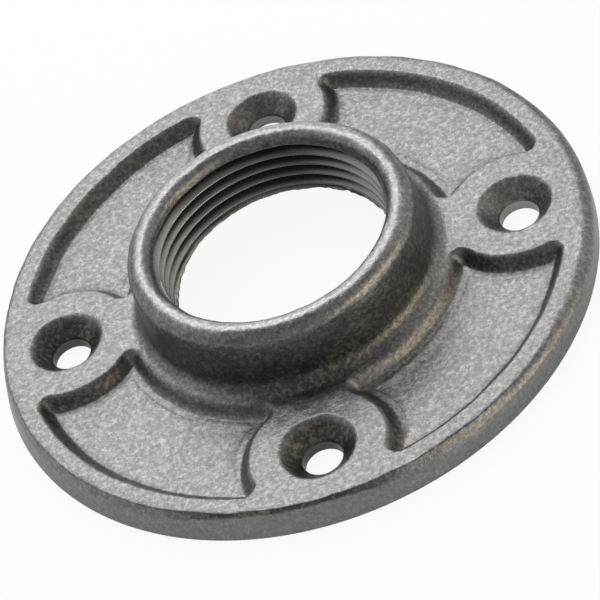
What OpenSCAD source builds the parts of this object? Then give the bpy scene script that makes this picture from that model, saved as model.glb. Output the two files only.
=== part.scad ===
// Floor flange for a 1 1/4 inch taper pipe thread: one malleable iron casting with a round plate,
// a hollow-backed hub that carries the thread, countersunk screw holes and sunken pockets between them.
// The underside lies on z = 0 and the pipe axis is the Z axis. All sizes are in millimetres.

/* [Plate] */
// Outside diameter of the plate
plate_d = 102; // [98:0.5:112]
// Thickness of the plate
plate_t = 5; // [4:0.1:8]
// Radius that rounds the top edge of the rim
rim_round = 2; // [0.5:0.1:2.5]

/* [Hub] */
// Height of the hub's lip above the underside
hub_h = 17; // [15:0.5:30]
// Wall of the hub just below the lip, from the bore to the outside
hub_wall = 5; // [4.3:0.1:6.8]
// Draft of the hub's outside, in degrees from upright
hub_draft = 4.5; // [1:0.5:9]
// Radius of the hollow corner between the hub and the plate
hub_fillet = 2.6; // [1:0.1:3]
// Radius of the lip's inner edge
lip_inner_round = 2; // [0.5:0.1:2.6]
// Width of the lip's flat crest, outside which the lip is round down to the hub's side
lip_flat = 0.1; // [0.05:0.05:0.5]

/* [Bore] */
// Bore of the pipe thread, at its mean minor diameter
bore_d = 38.2; // [36:0.1:42]
// Depth of the cast mouth, from the lip down to the thread
mouth_depth = 3.4; // [2.5:0.1:5]
// Draft of the cast mouth, in degrees from upright
mouth_draft = 20; // [5:1:30]

/* [Hollow back] */
// Depth of the hollow in the underside, up to the end of the thread
hollow_depth = 5.4; // [3:0.1:7]
// Width of the ledge at the end of the thread
hollow_ledge = 2.2; // [1:0.1:3]
// Flare of the hollow's side, in degrees from upright
hollow_flare = 40; // [20:1:45]

/* [Screw holes] */
// Number of screw holes
screw_count = 4; // [3:1:5]
// Distance from a screw hole's axis to the edge of the plate
screw_edge = 12.25; // [11:0.25:13]
// Diameter of the screw holes
screw_d = 6.6; // [5:0.1:7.5]
// Diameter of the countersinks at the top of the plate
sink_d = 12.4; // [10:0.1:13.5]
// Whole angle of the countersinks
sink_angle = 90; // [80:1:100]

/* [Pockets] */
// Depth of the pockets below the top of the plate
pocket_depth = 2.2; // [0.8:0.1:2.6]
// Draft of the pocket walls, in degrees from upright
pocket_draft = 25; // [5:1:30]
// Width of the rim between the pockets and the edge of the plate
rim_w = 4.9; // [3.5:0.1:6]
// Width of the flat ring between the hub's hollow corner and the pockets
hub_ring = 0.3; // [0.2:0.1:2]
// Width of the land round each countersink
land_w = 5.5; // [3.5:0.1:6.5]
// Length by which a land runs into the flat ring round the hub, at the least
land_join = 0.5; // [0.3:0.1:1.5]
// Radius of the pocket corners, at the floor
corner_r = 0.6; // [0.4:0.1:1]

/* [Hidden] */
$fn = 120;
// Length by which a cutting shape runs past the face that it cuts
over = 0.5;
// Length by which a round stands past the faces that it joins, so that it meets them in clear edges
bite = 0.005;
// Reach of the shapes that cut a corner away, as multiples of its radius and of the way to its tip
sliver_reach = 1.5;
point_reach = 1.3;
tip_reach = 1.4;
// Sides of the small cones in the pocket corners
corner_sides = 48;

plate_r = plate_d / 2;
bore_r = bore_d / 2;

// The hub's outside is a cone: its radius just below the lip, and at the top of the plate
hub_top_r = bore_r + hub_wall;
hub_foot_r = hub_top_r + (hub_h - plate_t) * tan(hub_draft);

// Centres of the rounds in the section, as [radius, height]
rim_c = [plate_r - rim_round, plate_t - rim_round];
fillet_c = [hub_foot_r + hub_fillet * (1 / cos(hub_draft) - tan(hub_draft)), plate_t + hub_fillet];
mouth_top_r = bore_r + mouth_depth * tan(mouth_draft);
lip_inner_c = [
    mouth_top_r + lip_inner_round * (1 / cos(mouth_draft) - tan(mouth_draft)),
    hub_h - lip_inner_round
];
lip_outer_round = (hub_top_r - lip_inner_c[0] - lip_flat) / (1 / cos(hub_draft) - tan(hub_draft));
lip_outer_c = [lip_inner_c[0] + lip_flat, hub_h - lip_outer_round];

// The hollow back
hollow_top_r = bore_r + hollow_ledge;
hollow_foot_r = hollow_top_r + hollow_depth * tan(hollow_flare);

// Screw holes
screw_circle_r = plate_r - screw_edge;
sink_depth = (sink_d - screw_d) / 2 / tan(sink_angle / 2);

// Pocket outlines at the top of the plate
pocket_slope = tan(pocket_draft);
pocket_outer_r = plate_r - rim_w;
pocket_inner_r = fillet_c[0] + hub_ring;
land_r = max(sink_d / 2 + land_w, screw_circle_r - pocket_inner_r + land_join);
corner_top_r = corner_r + pocket_depth * pocket_slope;

// Angle of a triangle opposite side c
function angle_opposite(a, b, c) = acos((a * a + b * b - c * c) / (2 * a * b));
function along(angle) = [cos(angle), sin(angle)];

// Kite from a round's centre over the corner between two directions, less the round itself
module corner_sliver(centre, radius, from, to) {
    reach = sliver_reach * radius;
    difference() {
        polygon([
            centre,
            centre + reach * along(from),
            centre + reach / cos((to - from) / 2) * along((from + to) / 2),
            centre + reach * along(to)
        ]);
        translate(centre) circle(radius + bite);
    }
}

// Half section of the casting: plate and hub with their rounds, less the bore, mouth and hollow back
module section() {
    difference() {
        union() {
            square([plate_r, plate_t]);
            polygon([[0, 0], [hub_foot_r, 0], [hub_foot_r, plate_t], [hub_top_r, hub_h], [0, hub_h]]);
            corner_sliver(fillet_c, hub_fillet, 180 + hub_draft, 270);
        }
        corner_sliver(rim_c, rim_round, 0, 90);
        corner_sliver(lip_outer_c, lip_outer_round, hub_draft, 90);
        corner_sliver(lip_inner_c, lip_inner_round, 90, 180 - mouth_draft);
        polygon([
            [-over, -over],
            [hollow_foot_r + over * tan(hollow_flare), -over],
            [hollow_top_r, hollow_depth],
            [bore_r, hollow_depth],
            [bore_r, hub_h - mouth_depth],
            [mouth_top_r + over * tan(mouth_draft), hub_h + over],
            [-over, hub_h + over]
        ]);
    }
}

// Land round the screw hole on the X axis, wider towards its foot by the draft of the pocket walls
module land() {
    translate([screw_circle_r, 0, plate_t - pocket_depth - over])
        cylinder(
            h = pocket_depth + 2 * over,
            r1 = land_r + (pocket_depth + over) * pocket_slope,
            r2 = land_r - over * pocket_slope
        );
}

// Groove that the pockets are parts of, with both walls drafted
module pocket_groove() {
    rise = over * pocket_slope;
    fall = pocket_depth * pocket_slope;
    rotate_extrude()
        polygon([
            [pocket_inner_r + fall, plate_t - pocket_depth],
            [pocket_outer_r - fall, plate_t - pocket_depth],
            [pocket_outer_r + rise, plate_t + over],
            [pocket_inner_r - rise, plate_t + over]
        ]);
}

// Place of a pocket corner's round, beside the screw hole on the X axis. It touches the land and the wall of
// radius wall_r; side is 1 at the outer wall and -1 at the inner one.
function corner_turn(wall_r, side) =
    angle_opposite(wall_r - side * corner_top_r, screw_circle_r, land_r + corner_top_r);
function corner_centre(wall_r, side) = (wall_r - side * corner_top_r) * along(corner_turn(wall_r, side));

// Prism over the pointed end of the pocket beyond a corner's round
module corner_point(wall_r, side) {
    centre = corner_centre(wall_r, side);
    tip = wall_r * along(angle_opposite(wall_r, screw_circle_r, land_r));
    to_screw = [screw_circle_r, 0] - centre;
    reach = point_reach * corner_top_r;
    translate([0, 0, plate_t - pocket_depth - over / 2])
        linear_extrude(pocket_depth + over)
            polygon([
                centre,
                centre + reach * side * along(corner_turn(wall_r, side)),
                centre + tip_reach * (tip - centre),
                centre + reach * to_screw / norm(to_screw)
            ]);
}

// Cone that rounds a pocket corner with the draft of the walls
module corner_round(wall_r, side) {
    translate(corner_centre(wall_r, side))
        translate([0, 0, plate_t - pocket_depth])
            cylinder(
                h = pocket_depth + over,
                r1 = corner_r + bite,
                r2 = corner_top_r + over * pocket_slope + bite,
                $fn = corner_sides
            );
}

// Both sides of every screw hole
module beside_screws() {
    at_screws()
        for (flip = [0, 1])
            mirror([0, flip, 0]) children();
}

// Pockets between the lands: parts of the groove, with their pointed ends taken off and rounded
module pockets() {
    difference() {
        pocket_groove();
        at_screws() land();
        beside_screws() {
            corner_point(pocket_outer_r, 1);
            corner_point(pocket_inner_r, -1);
        }
    }
    beside_screws() {
        corner_round(pocket_outer_r, 1);
        corner_round(pocket_inner_r, -1);
    }
}

// Screw hole on the X axis, with its countersink
module screw_hole() {
    translate([screw_circle_r, 0, 0]) {
        translate([0, 0, -over]) cylinder(h = plate_t + 2 * over, d = screw_d);
        translate([0, 0, plate_t - sink_depth])
            cylinder(h = sink_depth + over, d1 = screw_d, d2 = sink_d + 2 * over * tan(sink_angle / 2));
    }
}

// Copies of what lies on the X axis, one at each screw hole
module at_screws() {
    for (i = [0 : screw_count - 1])
        rotate(i * 360 / screw_count) children();
}

module flange() {
    color([0.45, 0.45, 0.44])
        difference() {
            rotate_extrude() section();
            pockets();
            at_screws() screw_hole();
        }
}

flange();
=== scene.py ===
import bpy
import numpy as np
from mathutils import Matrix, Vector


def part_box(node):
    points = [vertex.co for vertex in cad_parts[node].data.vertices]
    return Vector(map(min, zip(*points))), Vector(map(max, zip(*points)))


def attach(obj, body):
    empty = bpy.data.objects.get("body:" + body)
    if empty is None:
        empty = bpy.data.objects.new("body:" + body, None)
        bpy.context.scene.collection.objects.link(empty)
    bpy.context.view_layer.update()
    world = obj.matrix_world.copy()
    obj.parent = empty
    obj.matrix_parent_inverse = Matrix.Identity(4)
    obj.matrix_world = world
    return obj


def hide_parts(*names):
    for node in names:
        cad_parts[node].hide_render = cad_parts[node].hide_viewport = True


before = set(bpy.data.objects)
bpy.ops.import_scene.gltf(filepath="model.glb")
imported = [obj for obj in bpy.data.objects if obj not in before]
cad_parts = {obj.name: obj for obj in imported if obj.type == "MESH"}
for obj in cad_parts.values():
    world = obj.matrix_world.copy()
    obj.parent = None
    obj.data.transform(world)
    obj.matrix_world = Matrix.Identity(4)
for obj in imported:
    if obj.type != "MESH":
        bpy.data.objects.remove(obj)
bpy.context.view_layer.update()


# The flange: one malleable iron casting, poured in sand, so that its skin is grainy and its edges are soft.
# The taper thread was then cut in its bore, and the screw holes were drilled through their cast countersinks.
# Sizes are in millimetres, drafts in degrees, angles about the axis in radians and the thread's in turns.
MM = 0.001
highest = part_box("flange")[1]
plate_r = highest[0] / MM
hub_h = highest[2] / MM
plate_t = 5.0
rim_round = 2.0
foot_round = 0.35

hub_top_r = 24.1
hub_draft = 4.5
hub_fillet = 2.6
lip_inner_round = 2.0
lip_flat = 0.1
bore_r = 19.1
mouth_depth = 3.4
mouth_draft = 20.0

thread_pitch = 25.4 / 11.5
thread_h = 1.7
thread_crest = 0.04
thread_top_r = 19.28
thread_top_z = 15.4
thread_end_r = 18.92
thread_end_z = 5.4
first_crest_z = 13.1
first_crest_turn = 100.3 / 360

ledge_r = 21.3
hollow_foot_r = 25.83
hollow_round = 0.4

screw_count = 4
screw_circle_r = 38.75
screw_r = 3.3
sink_r = 6.2
sink_lean = 45.0
sink_round = 1.2

rim_w = 4.9
hub_ring = 0.3
land_r = 11.7
corner_r = 0.6
pocket_depth = 2.2
pocket_draft = 25.0
pocket_edge = 1.6
pocket_floor_edge = 1.5
panel_depth = 0.13
panel_ramp = 0.55
panel_inset = 2.6
panel_rim_inset = 1.2
panel_off_rim = 8.0
panel_near_rim = 3.0

tan_hub = np.tan(np.radians(hub_draft))
cos_hub = np.cos(np.radians(hub_draft))
sin_hub = np.sin(np.radians(hub_draft))
tan_mouth = np.tan(np.radians(mouth_draft))
cos_mouth = np.cos(np.radians(mouth_draft))
sin_mouth = np.sin(np.radians(mouth_draft))
hub_foot_r = hub_top_r + (hub_h - plate_t) * tan_hub
fillet_c = np.array([hub_foot_r + hub_fillet * (1 / cos_hub - tan_hub), plate_t + hub_fillet])
mouth_top_r = bore_r + mouth_depth * tan_mouth
lip_inner_c = np.array([mouth_top_r + lip_inner_round * (1 / cos_mouth - tan_mouth), hub_h - lip_inner_round])
lip_outer_round = (hub_top_r - lip_inner_c[0] - lip_flat) / (1 / cos_hub - tan_hub)
lip_outer_c = np.array([lip_inner_c[0] + lip_flat, hub_h - lip_outer_round])
pocket_slope = np.tan(np.radians(pocket_draft))
pocket_outer_r = plate_r - rim_w
pocket_inner_r = fillet_c[0] + hub_ring
corner_top_r = corner_r + pocket_depth * pocket_slope
sink_z = plate_t - (sink_r - screw_r)
quarter_turn = 2 * np.pi / screw_count
eighth_turn = quarter_turn / 2


def arc(centre, radius, start, end, steps):
    """Points of a round in the section: the centre plus the radius at even angles from start to end, in
    degrees."""
    angle = np.radians(np.linspace(start, end, steps + 1))
    return np.stack([centre[0] + radius * np.cos(angle), centre[1] + radius * np.sin(angle)], axis=1)


def straight(start, end, steps):
    """Points at even steps on the straight line from start to end."""
    share = np.linspace(0, 1, steps + 1)[:, None]
    return np.asarray(start) * (1 - share) + np.asarray(end) * share


def chain(*stretches):
    """Stretches of a section put end to end, each without its last point, which the next one starts with."""
    return np.concatenate([stretch[:-1] for stretch in stretches])


def screw_angle(r, d):
    """Angle at the pipe axis between a screw hole and a point at radius r that lies d from the hole's axis,
    by the cosine law."""
    return np.arccos((r**2 + screw_circle_r**2 - d**2) / (2 * r * screw_circle_r))


# Columns of the surface in the eighth of a turn beside a screw hole: over the land, close together over the
# pocket's wall, and on to the middle of the pocket. Near the hub and the rim they no longer follow the land.
land_columns = 12
wall_columns = 21
floor_columns = 10
half_columns = land_columns + wall_columns + floor_columns
columns = 2 * screw_count * half_columns
wall_lead = 0.8
wall_trail = 3.0
wall_circles = np.linspace(land_r - wall_lead, land_r + wall_trail, wall_columns + 1)
span_inset = 2.1
span_outset = 0.5
column_span = (pocket_inner_r + span_inset, pocket_outer_r + span_outset)


def column_angles(r, follow):
    """Angle of every column in rows of radius r. Beside a screw hole the columns spread evenly over the land,
    run along circles about the hole over the pocket's wall, and spread evenly on to the pocket's middle; that
    eighth is mirrored and repeated round the plate. Where follow is 0 all columns are even instead."""
    near = np.clip(r, *column_span)[:, None]
    wall = screw_angle(near, wall_circles[None, :])
    land = wall[:, :1] * np.arange(land_columns) / land_columns
    share = np.arange(1, floor_columns + 1) / floor_columns
    floor = wall[:, -1:] * (1 - share) + eighth_turn * share
    even = eighth_turn * np.arange(half_columns + 1) / half_columns
    shaped = np.concatenate([land, wall, floor], axis=1)
    eighth = shaped * follow[:, None] + even * (1 - follow[:, None])
    quarter = np.concatenate([eighth[:, :-1], quarter_turn - eighth[:, :0:-1]], axis=1)
    angle = np.concatenate([quarter + k * quarter_turn for k in range(screw_count)], axis=1)
    return np.concatenate([angle, angle[:, :1] + 2 * np.pi], axis=1)


def pocket_inside(x, y):
    """How far a point of the plate lies inside the nearest pocket's outline: the least distance to the rim
    wall, the hub wall and the land, or, past a corner's centre, the corner's radius less the distance to that
    centre."""
    r = np.hypot(x, y)
    angle = np.mod(np.arctan2(y, x), quarter_turn)
    angle = np.minimum(angle, quarter_turn - angle)
    point = np.stack([r * np.cos(angle), r * np.sin(angle)])
    screw = np.array([screw_circle_r, 0.0])
    to_land = np.hypot(point[0] - screw[0], point[1]) - land_r
    inside = np.minimum(np.minimum(pocket_outer_r - r, r - pocket_inner_r), to_land)
    for wall_r, side in ((pocket_outer_r, 1), (pocket_inner_r, -1)):
        centre_r = wall_r - side * corner_top_r
        centre_angle = screw_angle(centre_r, land_r + corner_top_r)
        outward = np.array([np.cos(centre_angle), np.sin(centre_angle)])
        centre = centre_r * outward
        sides = np.stack([side * outward, (screw - centre) / np.hypot(*(screw - centre))], axis=1)
        away = point - centre.reshape(2, *[1] * r.ndim)
        along = np.tensordot(np.linalg.inv(sides), away, axes=1)
        past = (along[0] > 0) & (along[1] > 0)
        inside = np.where(past, corner_top_r - np.hypot(away[0], away[1]), inside)
    return inside


def soft_max(a, b, width):
    """The larger of two values, raised by a parabola where they differ by less than the width, so that the
    bend between them is round."""
    return np.maximum(a, b) + np.maximum(width - np.abs(a - b), 0) ** 2 / (4 * width)


def plate_height(x, y):
    """Height of the plate's upper side: the plate less the pockets, whose drafted walls have soft edges, and
    less a shallow panel in each pocket's floor, whose edge comes closer to the wall beside the rim."""
    inside = pocket_inside(x, y)
    fall = soft_max(inside / pocket_slope, 0, pocket_edge)
    inset_radii = [pocket_outer_r - panel_off_rim, pocket_outer_r - panel_near_rim]
    inset = np.interp(np.hypot(x, y), inset_radii, [panel_inset, panel_rim_inset])
    panel = panel_depth * np.clip((inside - inset) / panel_ramp, 0, 1)
    return plate_t + soft_max(-fall, -pocket_depth, pocket_floor_edge) - panel


# Radii of the plate's rows, from the rim inwards, close together over the pocket walls, and those of them
# that a screw hole's opening reaches over
rim_steps = 3
outer_wall_steps = 25
pocket_steps = 10
inner_wall_steps = 22
outer_wall_top = pocket_outer_r + wall_lead
outer_wall_foot = pocket_outer_r - wall_trail
inner_wall_foot = pocket_inner_r + wall_trail
plate_rows = chain(
    straight([plate_r - rim_round], [outer_wall_top], rim_steps),
    straight([outer_wall_top], [outer_wall_foot], outer_wall_steps),
    straight([outer_wall_foot], [inner_wall_foot], pocket_steps),
    straight([inner_wall_foot], [fillet_c[0]], inner_wall_steps),
)[:, 0]
opening_inward = 8.8
opening_outward = 7.3
opening_inner_r = screw_circle_r - opening_inward
opening_outer_r = screw_circle_r + opening_outward
screw_rows = np.flatnonzero((plate_rows > opening_inner_r) & (plate_rows < opening_outer_r))
top_rows = np.stack([plate_rows, np.full_like(plate_rows, plate_t)], axis=1)

# The rim's rows, from its foot up to the plate, in three forms with equal numbers of rows: the round rim, the
# near side, which leans and ends in a sharp edge, and the stretch of that edge with a small facet, on which
# shade is painted
foot_steps = 4
side_steps = 6
round_steps = 13
edge_steps = 3
facet_steps = 6
near_steps = side_steps + round_steps - edge_steps
facet_side_steps = near_steps - facet_steps
rim_edge_r = 49.32
rim_edge_drop = 0.05
facet_h = 0.7
facet_lean = np.radians(27)
foot_rows = arc((plate_r - foot_round, foot_round), foot_round, -90, 0, foot_steps)
rim_rows = chain(
    foot_rows,
    straight((plate_r, foot_round), (plate_r, plate_t - rim_round), side_steps),
    arc((plate_r - rim_round, plate_t - rim_round), rim_round, 0, 90, round_steps),
)
rim_edge = np.array([rim_edge_r, plate_t - rim_edge_drop])
facet_foot = rim_edge + facet_h * np.array([np.sin(facet_lean), -np.cos(facet_lean)])
edge_rows = straight(rim_edge, (plate_r - rim_round, plate_t), edge_steps)
near_rim_rows = chain(foot_rows, straight((plate_r, foot_round), rim_edge, near_steps), edge_rows)
facet_rim_rows = chain(
    foot_rows,
    straight((plate_r, foot_round), facet_foot, facet_side_steps),
    straight(facet_foot, rim_edge, facet_steps),
    edge_rows,
)

# The hub's rows, from its hollow corner over the lip to the mouth of the bore
fillet_steps = 10
hub_side_steps = 8
lip_steps = 11
mouth_steps = 3
hub_outward = np.array([cos_hub, sin_hub])
mouth_inward = np.array([-cos_mouth, sin_mouth])
hub_side_foot = fillet_c - hub_fillet * hub_outward
hub_side_top = lip_outer_c + lip_outer_round * hub_outward
mouth_top = lip_inner_c + lip_inner_round * mouth_inward
mouth_foot = (mouth_top_r - (hub_h - thread_top_z) * tan_mouth, thread_top_z)
hub_rows = chain(
    arc(fillet_c, hub_fillet, 270, 180 + hub_draft, fillet_steps),
    straight(hub_side_foot, hub_side_top, hub_side_steps),
    arc(lip_outer_c, lip_outer_round, hub_draft, 90, lip_steps),
    straight((lip_outer_c[0], hub_h), (lip_inner_c[0], hub_h), 1),
    arc(lip_inner_c, lip_inner_round, 90, 180 - mouth_draft, lip_steps),
    straight(mouth_top, mouth_foot, mouth_steps),
)

# The back's rows, from the end of the thread over the ledge and the hollow to the foot of the rim; away from
# the screw holes the flat back takes only some of the plate's rows
ledge_steps = 5
hollow_edge_steps = 2
hollow_steps = 6
back_rim_stride = 3
back_hub_stride = 5
ledge_edge = (ledge_r - hollow_round, thread_end_z)
hollow_top = (ledge_r, thread_end_z - hollow_round)
hollow_foot = (hollow_foot_r - hollow_round, hollow_round)
back_edge = (hollow_foot_r + hollow_round, 0)
back_plate_rows = np.concatenate([
    plate_rows[: screw_rows[0]][::back_rim_stride],
    plate_rows[screw_rows],
    plate_rows[screw_rows[-1] + 1 :][::back_hub_stride],
])
flat_back_rows = np.append(back_plate_rows[::-1], plate_r - foot_round)
back_rows = chain(
    straight((thread_end_r, thread_end_z), ledge_edge, ledge_steps)[1:],
    straight(ledge_edge, hollow_top, hollow_edge_steps),
    straight(hollow_top, hollow_foot, hollow_steps),
    straight(hollow_foot, back_edge, hollow_edge_steps),
    np.stack([flat_back_rows, np.zeros_like(flat_back_rows)], axis=1),
)

# The thread's rows climb with the helix, one pitch in a turn, so that each crest and root has rows of its
# own, at these shares of a pitch; past either end of the thread they run together into its edge
crest_rows = np.array([0, 0.03, 0.07, 0.16, 0.26, 0.36, 0.46, 0.54, 0.64, 0.74, 0.84, 0.93, 0.97])
half_pitch = 0.5
turns_above = 2
last_row_gap = 0.01
thread_start = first_crest_z - thread_pitch * (first_crest_turn - turns_above)
thread_turns = (thread_start - thread_end_z) / thread_pitch + 1
thread_row = (np.arange(np.ceil(thread_turns))[:, None] + crest_rows[None, :]).ravel()
thread_row = thread_row[(thread_row > half_pitch) & (thread_row < thread_turns)]
thread_row = np.append(thread_row, thread_turns + last_row_gap)
thread_fade_in = 0.4
thread_fade_out = 0.5
thread_end_land = 0.25
# Painted shade in the thread's grooves, heavier under the crests, spread over the crests at one side and thin
# at another
shade_under_crest = 4
shade_over_crest = 1.1
shaded_thread_angle = np.radians(68)
shaded_thread_share = 0.6
shaded_thread_power = 6
unshaded_thread_angle = np.radians(8)
unshaded_thread_share = 0.6
unshaded_thread_power = 4


def thread_surface(turn):
    """Radius and height of the thread at places round the axis, counted in turns, the painted shade there and
    the radius of the cast mouth. A row's height falls by its place in pitches and climbs one pitch in a turn.
    The radius grows from the crest to the root on straight flanks, over a minor radius that tapers with the
    height; the grooves fade out at both ends, and the cast mouth is left wherever it is wider. The painted
    shade grows with the depth, and faster under a crest than above it; at one side it is painted on the
    crests too, and at another it is thin, so that the metal looks lit there."""
    z = thread_start - thread_pitch * (thread_row[:, None] - turn[None, :])
    z = np.clip(z, thread_end_z, thread_top_z)
    place = np.mod((thread_start - z) / thread_pitch + turn[None, :], 1)
    from_crest = np.minimum(place, 1 - place)
    depth = np.clip((from_crest - thread_crest) / (half_pitch - 2 * thread_crest), 0, 1)
    fade_out = np.clip((z - thread_end_z - thread_end_land) / thread_fade_out, 0, 1)
    depth *= fade_out * np.clip((thread_top_z - z) / thread_fade_in, 0, 1)
    up = (z - thread_end_z) / (thread_top_z - thread_end_z)
    minor = thread_end_r + (thread_top_r - thread_end_r) * up
    cast = mouth_top_r - (hub_h - z) * tan_mouth
    shaded_side = np.clip(np.cos(2 * np.pi * turn - shaded_thread_angle), 0, 1) ** shaded_thread_power
    unshaded_side = np.clip(np.cos(2 * np.pi * turn - unshaded_thread_angle), 0, 1) ** unshaded_thread_power
    groove_shade = depth * np.where(place < half_pitch, shade_under_crest, shade_over_crest)
    groove_shade = np.clip(groove_shade * (1 - unshaded_thread_share * unshaded_side) + shaded_thread_share * shaded_side, 0, 1)
    return np.maximum(minor + thread_h * depth, cast), z, groove_shade, cast


# The whole skin as one grid that closes on itself: the rim, the plate and the hub, the thread, and the back.
# On the plate the columns follow the pockets, and elsewhere they are even.
follow_rows = 10
near_rim_angle = np.radians(-125)
near_rim_base = 0.1
near_rim_swing = 1.1
facet_angle = np.radians(-98)
facet_cos = 0.92
facet_fade = 0.06
column_turn = np.arange(columns + 1) / columns
thread_r, thread_z, thread_shade, thread_cast = thread_surface(column_turn)
upper = np.concatenate([rim_rows, top_rows, hub_rows])
follow_upper = np.concatenate([
    np.interp(np.arange(len(rim_rows)), [len(rim_rows) - follow_rows, len(rim_rows)], [0, 1]),
    np.ones(len(top_rows)),
    np.interp(np.arange(len(hub_rows)), [0, fillet_steps], [1, 0]),
])
follow_back = np.interp(back_rows[:, 0], [hollow_foot_r + hollow_round, fillet_c[0]], [0, 1])
follow_back[-1] = 0
upper_angle = column_angles(upper[:, 0], follow_upper)
back_angle = column_angles(back_rows[:, 0], follow_back)
thread_angle = np.broadcast_to(2 * np.pi * column_turn, thread_r.shape)
angle = np.concatenate([upper_angle, thread_angle, back_angle])
radius = np.concatenate([
    np.broadcast_to(upper[:, :1], upper_angle.shape),
    thread_r,
    np.broadcast_to(back_rows[:, :1], back_angle.shape),
])
height = np.concatenate([
    np.broadcast_to(upper[:, 1:], upper_angle.shape),
    thread_z,
    np.broadcast_to(back_rows[:, 1:], back_angle.shape),
])
rim_angle = upper_angle[: len(rim_rows)]
near_share = np.clip(near_rim_base + near_rim_swing * np.cos(rim_angle - near_rim_angle), 0, 1)[..., None]
facet_share = np.clip((np.cos(rim_angle - facet_angle) - facet_cos) / facet_fade, 0, 1)[..., None]
near_rim = near_rim_rows[:, None] * (1 - facet_share) + facet_rim_rows[:, None] * facet_share
rim = rim_rows[:, None] * (1 - near_share) + near_rim * near_share
radius[: len(rim_rows)] = rim[..., 0]
height[: len(rim_rows)] = rim[..., 1]
skin = np.stack([radius * np.cos(angle), radius * np.sin(angle), height], axis=-1)
plate = slice(len(rim_rows), len(rim_rows) + len(top_rows))
pocketed = slice(plate.start, plate.stop + fillet_steps)
skin[pocketed, :, 2] += plate_height(skin[pocketed, :, 0], skin[pocketed, :, 1]) - plate_t

# Cells of the skin that a screw hole takes the place of, on the upper side and on the back
rows = len(skin)
top_first = plate.start + screw_rows[0]
top_last = plate.start + screw_rows[-1]
back_last = rows - 1 - np.searchsorted(-back_plate_rows, -plate_rows[screw_rows[0]])
back_first = back_last - (len(screw_rows) - 1)
row_index, column_index = np.meshgrid(np.arange(rows), np.arange(columns), indexing="ij")
over_land = np.mod(column_index + land_columns, columns // screw_count) < 2 * land_columns
on_top = (row_index >= top_first) & (row_index < top_last)
on_back = (row_index >= back_first) & (row_index < back_last)
opened = over_land & (on_top | on_back)


def grid_faces(first, count, width, closed):
    """Four-sided faces of a grid of vertices numbered row by row from first, in a count of rows of one width,
    with the last row joined to the first one where the grid is closed."""
    row, column = np.meshgrid(np.arange(count if closed else count - 1), np.arange(width - 1), indexing="ij")
    after = (row + 1) % count
    return first + np.stack([
        row * width + column,
        row * width + column + 1,
        after * width + column + 1,
        after * width + column,
    ], axis=-1)


hole_edge = 0.15
hole_drop = 0.1
sink_mouth_steps = 6
sink_steps = 10
hole_edge_steps = 2
hole_steps = 4
land_steps = 8


def screw_wall(k):
    """Wall of screw hole k as a grid: rings that run from the edge of the opened cells to the countersink's
    mouth, down the countersink and the drilled hole, and out again to the opened cells of the back. Between
    the opened cells and the hole each ring is a mix of their outline and a circle."""
    across = np.mod(np.arange(-land_columns, land_columns + 1) + k * columns // screw_count, columns)
    down = np.arange(top_first, top_last + 1)
    ring = np.concatenate([
        skin[top_first, across[:-1]],
        skin[down[:-1], across[-1]],
        skin[top_last, across[:0:-1]],
        skin[down[:0:-1], across[0]],
        skin[top_first, across[:1]],
    ])
    centre = screw_circle_r * np.array([np.cos(k * quarter_turn), np.sin(k * quarter_turn)])
    away = ring[:, :2] - centre
    reach = np.hypot(away[:, 0], away[:, 1])
    heading = away / reach[:, None]
    mouth_c = (sink_r + sink_round * np.tan(np.radians(sink_lean) / 2), plate_t - sink_round)
    mouth = arc(mouth_c, sink_round, 90, 90 + sink_lean, sink_mouth_steps)
    hole_top = (screw_r + hole_edge, sink_z + hole_edge)
    drill_top = (screw_r, sink_z - hole_drop)
    drill_foot = (screw_r, hole_edge)
    hole_foot = (screw_r + hole_edge, 0)
    shape = chain(
        mouth,
        straight(mouth[-1], hole_top, sink_steps),
        straight(hole_top, drill_top, hole_edge_steps),
        straight(drill_top, drill_foot, hole_steps),
        straight(drill_foot, hole_foot, hole_edge_steps),
        straight(hole_foot, hole_foot, 1),
    )
    share = np.linspace(0, 1, land_steps + 1)[:-1, None]
    flat = reach[None, :] * (1 - share) + shape[0, 0] * share
    flat_back = reach[None, :] * share + shape[-1, 0] * (1 - share)
    flat_back = np.concatenate([flat_back[1:], reach[None, :]])
    out = np.concatenate([flat, np.broadcast_to(shape[:, :1], (len(shape), len(ring))), flat_back])
    z = np.concatenate([
        np.full_like(flat, plate_t),
        np.broadcast_to(shape[:, 1:], (len(shape), len(ring))),
        np.zeros_like(flat_back),
    ])
    wall = np.concatenate([centre + out[..., None] * heading, z[..., None]], axis=-1)
    wall[: len(flat), :, 2] = plate_height(wall[: len(flat), :, 0], wall[: len(flat), :, 1])
    return wall


screw_walls = np.stack([screw_wall(k) for k in range(screw_count)])
points = np.concatenate([skin.reshape(-1, 3), screw_walls.reshape(-1, 3)])
wall_rows, wall_width = screw_walls.shape[1:3]
skin_size = rows * (columns + 1)
wall_size = wall_rows * wall_width
skin_faces = grid_faces(0, rows, columns + 1, True)[~opened]
wall_faces = [grid_faces(skin_size + k * wall_size, wall_rows, wall_width, False) for k in range(screw_count)]
faces = np.concatenate([skin_faces] + [some.reshape(-1, 4) for some in wall_faces])

# How much of each surface is cut metal: the turned side of the rim in part, the thread and the drilled holes.
# The lip is worn at its top, and the same mask paints a highlight on it.
side_cut = 0.6
cut_fade = 0.15
back_clear = 0.05
worn_highlight_depth = 0.5
worn_highlight_fade = 0.45
skin_cut = np.zeros((rows, columns + 1))
side_rows = slice(foot_steps, foot_steps + facet_side_steps)
thread_rows = slice(len(upper), len(upper) + len(thread_r))
skin_cut[side_rows] = side_cut
skin_cut[thread_rows] = np.clip((thread_r - thread_cast) / cut_fade, 0, 1)
wall_z = screw_walls[..., 2]
wall_cut = (wall_z < sink_z + hole_drop) & (wall_z > back_clear)
cut = np.concatenate([skin_cut.ravel(), wall_cut.ravel().astype(float)])
worn_and_highlight = np.clip((points[:, 2] - hub_h + worn_highlight_depth) / worn_highlight_fade, 0, 1)
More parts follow.
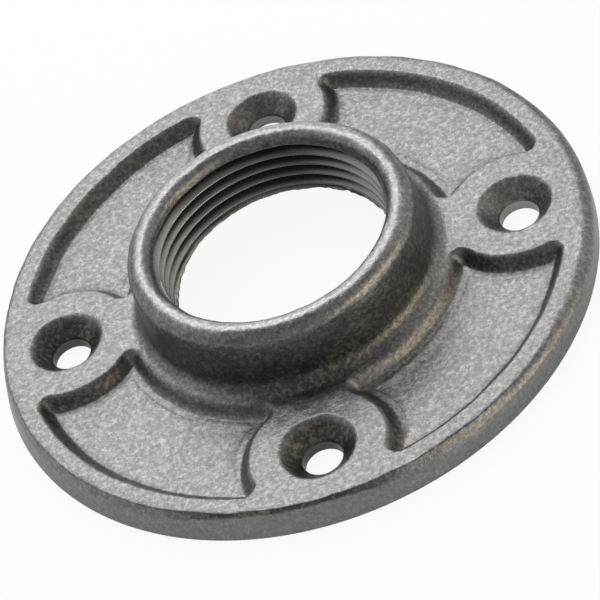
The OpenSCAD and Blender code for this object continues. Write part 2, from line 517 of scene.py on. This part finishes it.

# Painted shade on the pocket walls, thin at the hub and the rim and absent from one wall beside the near land
wall_shade_start = 2
wall_shade_full = 4
wall_shade_shares = [0.2, 0.8, 0.8, 0.5]
wall_shade_lead = 0.35
wall_shade_rise = 0.5
wall_shade_reach = 2.7
wall_shade_fade = 1.3
unshaded_wall_angle = np.radians(-110)
unshaded_wall_cos = 0.99
unshaded_wall_fade = 0.02
wall_shade_radii = [
    pocket_inner_r + wall_shade_start,
    pocket_inner_r + wall_shade_full,
    pocket_outer_r - wall_shade_full,
    pocket_outer_r - wall_shade_start,
]
wall_shade = np.interp(radius[plate], wall_shade_radii, wall_shade_shares)
wall_shade *= np.clip((unshaded_wall_cos - np.cos(angle[plate] - unshaded_wall_angle)) / unshaded_wall_fade, 0, 1)
inside = pocket_inside(skin[plate, :, 0], skin[plate, :, 1])
wall_shade *= np.clip((inside + wall_shade_lead) / wall_shade_rise, 0, 1)
wall_shade *= np.clip((wall_shade_reach - inside) / wall_shade_fade, 0, 1)
skin_shade = np.zeros((rows, columns + 1))
skin_shade[plate] = wall_shade

# Painted shade round the hub's foot, up the near side of the hub and out over the plate beside the near land
foot_shade_angle = np.radians(-75)
foot_shade_base = 0.12
foot_shade_swing = 0.85
foot_shade_power = 2
foot_shade_top = 14.5
foot_shade_fall = 6
reach_angle = np.radians(-98)
reach_base = 0.4
reach_swing = 2.6
reach_power = 8
reach_fade = 2.8
hub_foot = slice(plate.stop - inner_wall_steps, plate.stop + fillet_steps + hub_side_steps + 1)
to_near = np.clip(np.cos(angle[hub_foot] - foot_shade_angle), 0, 1)
to_land = np.clip(np.cos(angle[hub_foot] - reach_angle), 0, 1)
foot_reach = fillet_c[0] - reach_base + reach_swing * to_land**reach_power
foot_shade = foot_shade_base + foot_shade_swing * to_near**foot_shade_power
foot_shade *= np.clip((foot_shade_top - skin[hub_foot, :, 2]) / foot_shade_fall, 0, 1)
foot_shade *= np.clip((foot_reach - radius[hub_foot]) / reach_fade, 0, 1)
skin_shade[hub_foot] = np.maximum(skin_shade[hub_foot], foot_shade)

# Painted shade in the thread, on the rim's facet and down each countersink
sink_shade_shares = np.array([0.2, 0.5, 1.0, 1.0])
sink_shade_start = 0.1
sink_shade_rise = 0.9
facet_rows = slice(side_rows.stop, side_rows.stop + facet_steps)
skin_shade[thread_rows] = thread_shade * skin_cut[thread_rows]
# The rim's facet on the near side is painted dark as a shadow line.
skin_shade[facet_rows] = facet_share[facet_rows, :, 0]
# Painted shade down each countersink, by a different amount in each hole.
sink_shade = np.clip((plate_t - wall_z - sink_shade_start) / sink_shade_rise, 0, 1) * (wall_z > back_clear)
sink_shade = sink_shade * sink_shade_shares[:, None, None]
painted_shade = np.concatenate([skin_shade.ravel(), sink_shade.ravel()])

wave_count = 16
wave_spread = (0.7, 1.4)


def ripple(point, length, seed):
    """Uneven skin, mostly between -1 and 1: a sum of plane waves of about the given length, in directions and
    phases drawn from a fixed seed."""
    draw = np.random.default_rng(seed)
    waves = draw.normal(size=(wave_count, 3))
    size = np.linalg.norm(waves, axis=1, keepdims=True)
    waves *= 2 * np.pi / (length * size) * draw.uniform(*wave_spread, (wave_count, 1))
    return np.sin(point @ waves.T + draw.uniform(0, 2 * np.pi, wave_count)).sum(axis=1) / np.sqrt(wave_count)


# The cast skin is uneven by some hundredths of a millimetre, but for cut metal and the flat underside
swell_length = 8
lift_length = 9
lump_length = 3
swell = 0.05
lump = 0.02
lift_lump = 0.03
flat_h = 2
loose = np.clip(points[:, 2] / flat_h, 0, 1) * (1 - cut)
points = points + loose[:, None] * np.stack([
    swell * ripple(points, swell_length, seed=11) + lump * ripple(points, lump_length, seed=12),
    swell * ripple(points, swell_length, seed=13) + lump * ripple(points, lump_length, seed=14),
    swell * ripple(points, lift_length, seed=15) + lift_lump * ripple(points, lump_length, seed=16),
], axis=1)

# The rim's edge is ragged, and the thread's last turn carries a burr that stands into the bore
edge_reach = 0.4
edge_drop = 0.9
edge_long = 0.08
edge_long_length = 7
edge_short = 0.06
edge_short_length = 3.2
burr_h = 0.5
burr_r = 19.5
burr_fade = 0.4
burr_size = 0.22
burr_fine = 0.08
burr_fine_length = 1.5
burr_long = 0.1
burr_long_length = 5
out = np.hypot(points[:, 0], points[:, 1])
heading = points * [1, 1, 0] / out[:, None]
at_edge = np.exp(-(((out - rim_edge_r) / edge_reach) ** 2)) * (points[:, 2] > plate_t - edge_drop)
at_burr = np.clip((thread_end_z + burr_h - points[:, 2]) / burr_h, 0, 1)
at_burr *= np.clip((burr_r - out) / burr_fade, 0, 1)
round_edge = heading * rim_edge_r
round_burr = heading * thread_end_r
edge_wave = edge_long * ripple(round_edge, edge_long_length, seed=17)
edge_wave += edge_short * ripple(round_edge, edge_short_length, seed=21)
burr_wave = burr_size + burr_fine * ripple(round_burr, burr_fine_length, seed=18)
burr_wave += burr_long * ripple(round_burr, burr_long_length, seed=20)
points += heading * (at_edge * edge_wave - at_burr * burr_wave)[:, None]
points[:, :2] *= np.minimum(1, plate_r / np.hypot(points[:, 0], points[:, 1]))[:, None]
points[:, 2] = np.clip(points[:, 2], 0, hub_h)

# Vertices that coincide to a ten-thousandth of a millimetre become one. A face that loses a corner by this is
# a triangle, and a face that shrinks to a line is dropped.
merge_grid = 1e4
whole = np.round(points * merge_grid).astype(np.int64)
kept, number = np.unique(whole, axis=0, return_index=True, return_inverse=True)[1:]
faces = number.ravel()[faces]
same_as_next = faces == np.roll(faces, -1, axis=1)
quads = faces[~same_as_next.any(axis=1)]
once = faces[same_as_next.sum(axis=1) == 1]
once_same = np.argmax(once == np.roll(once, -1, axis=1), axis=1)
triangles = np.take_along_axis(once, (once_same[:, None] + np.arange(1, 4)) % 4, axis=1)

mesh = bpy.data.meshes.new("flange_casting")
mesh.from_pydata(points[kept] * MM, [], quads.tolist() + triangles.tolist())
# The mesh carries how much is cut metal, the worn lip, which is also painted as a highlight, and the painted
# shade.
for name, value in (("cut", cut), ("worn_and_highlight", worn_and_highlight), ("painted_shade", painted_shade)):
    mesh.attributes.new(name, "FLOAT", "POINT").data.foreach_set("value", value[kept].astype(np.float32))
mesh.polygons.foreach_set("use_smooth", np.ones(len(mesh.polygons), bool))
mesh.update()
casting = bpy.data.objects.new("flange_casting", mesh)
bpy.context.scene.collection.objects.link(casting)


class Wire:
    """An output socket of a material. Arithmetic on it adds Math nodes, and node() adds any other node."""

    def __init__(self, tree, socket):
        self.tree = tree
        self.socket = socket

    def node(self, kind, settings, sockets, output=0):
        """Adds a node: its settings first, then the value or the link of each socket, by name, or by number
        where several share a name. Gives a wire from the named output, or from the first one."""
        made = self.tree.nodes.new(kind)
        for name, value in settings.items():
            setattr(made, name, value)
        for name, value in sockets.items():
            if isinstance(value, Wire):
                self.tree.links.new(value.socket, made.inputs[name])
            else:
                made.inputs[name].default_value = value
        return Wire(self.tree, made.outputs[output]) if made.outputs else None

    def maths(self, operation, first, second):
        """Adds a Math node on two values."""
        return self.node("ShaderNodeMath", {"operation": operation}, {0: first, 1: second})

    def __add__(self, other):
        return self.maths("ADD", self, other)

    def __radd__(self, other):
        return self.maths("ADD", other, self)

    def __sub__(self, other):
        return self.maths("SUBTRACT", self, other)

    def __rsub__(self, other):
        return self.maths("SUBTRACT", other, self)

    def __mul__(self, other):
        return self.maths("MULTIPLY", self, other)

    def __rmul__(self, other):
        return self.maths("MULTIPLY", other, self)


def new_material(name):
    """A material with no nodes but Texture Coordinate, and a wire of its Object coordinates to start from."""
    material = bpy.data.materials.new(name)
    material.use_nodes = True
    tree = material.node_tree
    tree.nodes.clear()
    return material, Wire(tree, tree.nodes.new("ShaderNodeTexCoord").outputs["Object"])


def noise(place, scale, detail):
    """Noise from 0 to 1 with the given number of lumps to the metre and octaves of detail."""
    return place.node("ShaderNodeTexNoise", {}, {"Vector": place, "Scale": scale, "Detail": detail})


def carried(place, name):
    """The value that the mesh carries under a name."""
    return place.node("ShaderNodeAttribute", {"attribute_name": name}, {}, output="Fac")


def step(value, low, high):
    """0 below low and 1 above high, smooth between."""
    settings = {"interpolation_type": "SMOOTHSTEP"}
    return value.node("ShaderNodeMapRange", settings, {"Value": value, "From Min": low, "From Max": high})


def mix(share, under, over, blend="MIX"):
    """The colour under, with the colour over laid on it, or else blended with it, to the given share."""
    settings = {"data_type": "RGBA", "blend_type": blend}
    return share.node("ShaderNodeMix", settings, {"Factor": share, "A": under, "B": over}, output="Result")


# The iron's skin: three sizes of grain that speckle it from dark to pale, smooth bright metal where it is
# cut, a paler worn lip that is partly a painted highlight, and painted shade with flecks of rust in it
iron, iron_place = new_material("cast_iron")
cut_share = carried(iron_place, "cut")
worn_and_highlight_share = carried(iron_place, "worn_and_highlight")
shade_share = carried(iron_place, "painted_shade")
grain = noise(iron_place, scale=1350, detail=3)
fine = noise(iron_place, scale=3200, detail=1)
patches = noise(iron_place, scale=300, detail=2)
middle = 0.5

grain_weight = 1.9
fine_weight = 1.2
patch_weight = 0.4
cut_calm = 0.8
speckle_middle = 0.42
speckle_swing = 0.92
speckle_skew = 0.8
iron_dark = (0.114, 0.114, 0.11, 1)
iron_pale = (0.312, 0.312, 0.306, 1)
lumps = grain_weight * (grain - middle) + fine_weight * (fine - middle) + patch_weight * (patches - middle)
lumps = (1 - cut_calm * cut_share) * lumps
tone = mix(speckle_middle + speckle_swing * lumps * (1 + speckle_skew * lumps), iron_dark, iron_pale)

worn_highlight_mix = 0.06
worn_highlight_pale = (0.5, 0.5, 0.49, 1)
cut_mix = 0.9
cut_shaded = 0.8
cut_bright = (0.38, 0.38, 0.37, 1)
bright_cut = step(cut_share, low=0.65, high=0.95)
# The lip's worn top is painted paler: partly wear, partly a painted highlight.
tone = mix(worn_highlight_mix * worn_and_highlight_share, tone, worn_highlight_pale)
# Cut metal is paler, less so where shade is painted.
tone = mix(cut_mix * bright_cut * (1 - cut_shaded * shade_share), tone, cut_bright)

shade_mix = 0.8
shade_colour = (0.28, 0.268, 0.24, 1)
rust_mix = 0.36
rust_brown = (0.29, 0.255, 0.21, 1)
rust_grain = 0.7
rust_patches = 0.3
# Flecks of rust, only where shade is painted.
flecks = step(rust_grain * grain + rust_patches * patches, low=0.49, high=0.6)
rust = shade_share * flecks * (1 - bright_cut)
# Painted shade darkens the skin where the mesh carries it.
tone = mix(shade_mix * shade_share, tone, shade_colour, blend="MULTIPLY")
tone = mix(rust_mix * rust, tone, rust_brown)

rough_middle = 0.42
rough_swing = 0.1
rough_cut = 0.16
rough_worn = 0.1
rough_shaded = 0.04
rough = rough_middle + rough_swing * (patches - middle) + rough_swing * (fine - middle)
# Painted shade also makes the skin a little rougher.
rough = rough - rough_cut * cut_share - rough_worn * worn_and_highlight_share + rough_shaded * shade_share

bump_grain = 0.7
bump_fine = 0.3
bump_worn = 0.5
bump_strength = 0.8
bump_depth = 0.13 * MM
bump_height = (grain * bump_grain + fine * bump_fine) * (1 - cut_share) * (1 - bump_worn * worn_and_highlight_share)
bump_sockets = {"Strength": bump_strength, "Distance": bump_depth, "Height": bump_height}
bump = iron_place.node("ShaderNodeBump", {}, bump_sockets)
iron_sockets = {"Base Color": tone, "Metallic": 1.0, "Roughness": rough, "Normal": bump}
iron_face = iron_place.node("ShaderNodeBsdfPrincipled", {}, iron_sockets)
iron_place.node("ShaderNodeOutputMaterial", {}, {"Surface": iron_face})
mesh.materials.append(iron)

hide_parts("flange")
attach(casting, "root")


# The floor: a wide sheet of matt white card, cut square and laid flat, that the flange lies on. The camera
# sees it as nearly white, with a trace of the flange's shadow, and the iron mirrors it as half white and
# half shaded card.
floor_half = 4.0
floor_corners = floor_half * np.array([(-1, -1, 0), (1, -1, 0), (1, 1, 0), (-1, 1, 0)])
floor_mesh = bpy.data.meshes.new("floor")
floor_mesh.from_pydata(floor_corners, [], [(0, 1, 2, 3)])
floor = bpy.data.objects.new("floor", floor_mesh)
bpy.context.scene.collection.objects.link(floor)

card_colour = (0.9, 0.9, 0.9, 1)
white = (1, 1, 1, 1)
seen_white = 0.92
mirrored_white = 0.5
card, card_place = new_material("white_card")
card_face = card_place.node("ShaderNodeBsdfDiffuse", {}, {"Color": card_colour})
card_white = card_place.node("ShaderNodeEmission", {}, {"Color": white, "Strength": 1.0})
seen = card_place.node("ShaderNodeLightPath", {}, {}, output="Is Camera Ray")
mirrored = card_place.node("ShaderNodeLightPath", {}, {}, output="Is Glossy Ray")
passed = card_place.node("ShaderNodeLightPath", {}, {}, output="Is Transmission Ray")
white_share = seen_white * seen + mirrored_white * (mirrored + passed)
card_shown = card_place.node("ShaderNodeMixShader", {}, {0: white_share, 1: card_face, 2: card_white})
card_place.node("ShaderNodeOutputMaterial", {}, {"Surface": card_shown})
floor_mesh.materials.append(card)


# The light: seven soft panels on stands, turned to face the flange, in a dim room. A soft box, a wide box and
# a card stand behind it, cards at the left, the right and the front fill its other sides, and a low board at
# the right is warm.
def add_lamp(name, colour, size, power, place, turn):
    """A rectangular soft light: its colour, its width and height in metres, its power in watts, its place in
    metres and its turn in degrees."""
    lamp = bpy.data.lights.new(name, "AREA")
    lamp.shape = "RECTANGLE"
    lamp.size = size[0]
    lamp.size_y = size[1]
    lamp.energy = power
    lamp.color = colour
    holder = bpy.data.objects.new(name, lamp)
    holder.location = place
    holder.rotation_euler = np.radians(turn)
    bpy.context.scene.collection.objects.link(holder)


plain = (1, 1, 1)
cream = (1, 0.95, 0.88)
amber = (1, 0.88, 0.72)
add_lamp("soft_box", plain, size=(0.48, 0.66), power=2.67, place=(-0.122, 0.575, 0.809), turn=(-36, 0, 12))
add_lamp("wide_box", plain, size=(1.2, 1.1), power=4.0, place=(-0.141, 0.801, 0.813), turn=(-45, 0, 10))
add_lamp("back_card", plain, size=(0.66, 0.4), power=1.58, place=(-0.154, 0.969, 0.191), turn=(-79, 0, 9))
add_lamp("left_card", plain, size=(1.0, 1.1), power=1.92, place=(-0.807, 0.142, 0.574), turn=(55, 0, 260))
add_lamp("right_card", cream, size=(0.9, 1.0), power=1.67, place=(0.725, 0.419, 0.546), turn=(57, 0, 120))
add_lamp("front_card", plain, size=(1.6, 1.0), power=0.6, place=(0, -0.92, 0.77), turn=(50, 0, 0))
add_lamp("warm_board", amber, size=(1.0, 0.36), power=3.2, place=(0.762, -0.44, 0.187), turn=(78, 0, 60))
room_colour = (0.275, 0.275, 0.275, 1)
room = bpy.data.worlds.new("room")
room.use_nodes = True
room.node_tree.nodes["Background"].inputs["Color"].default_value = room_colour
bpy.context.scene.world = room


# The camera: a long lens on a stand over the near side of the flange, tilted to one side, as in the
# photograph. It has no shift and no depth of field.
lens = bpy.data.cameras.new("camera")
lens.sensor_width = 36
lens.lens = 200.07
camera = bpy.data.objects.new("camera", lens)
camera.location = (0.07066, -0.38841, 0.38053)
camera.rotation_euler = np.radians((43.255, 17.258, -7.188))
bpy.context.scene.collection.objects.link(camera)
bpy.context.scene.camera = camera
bpy.context.scene.view_settings.view_transform = "Standard"
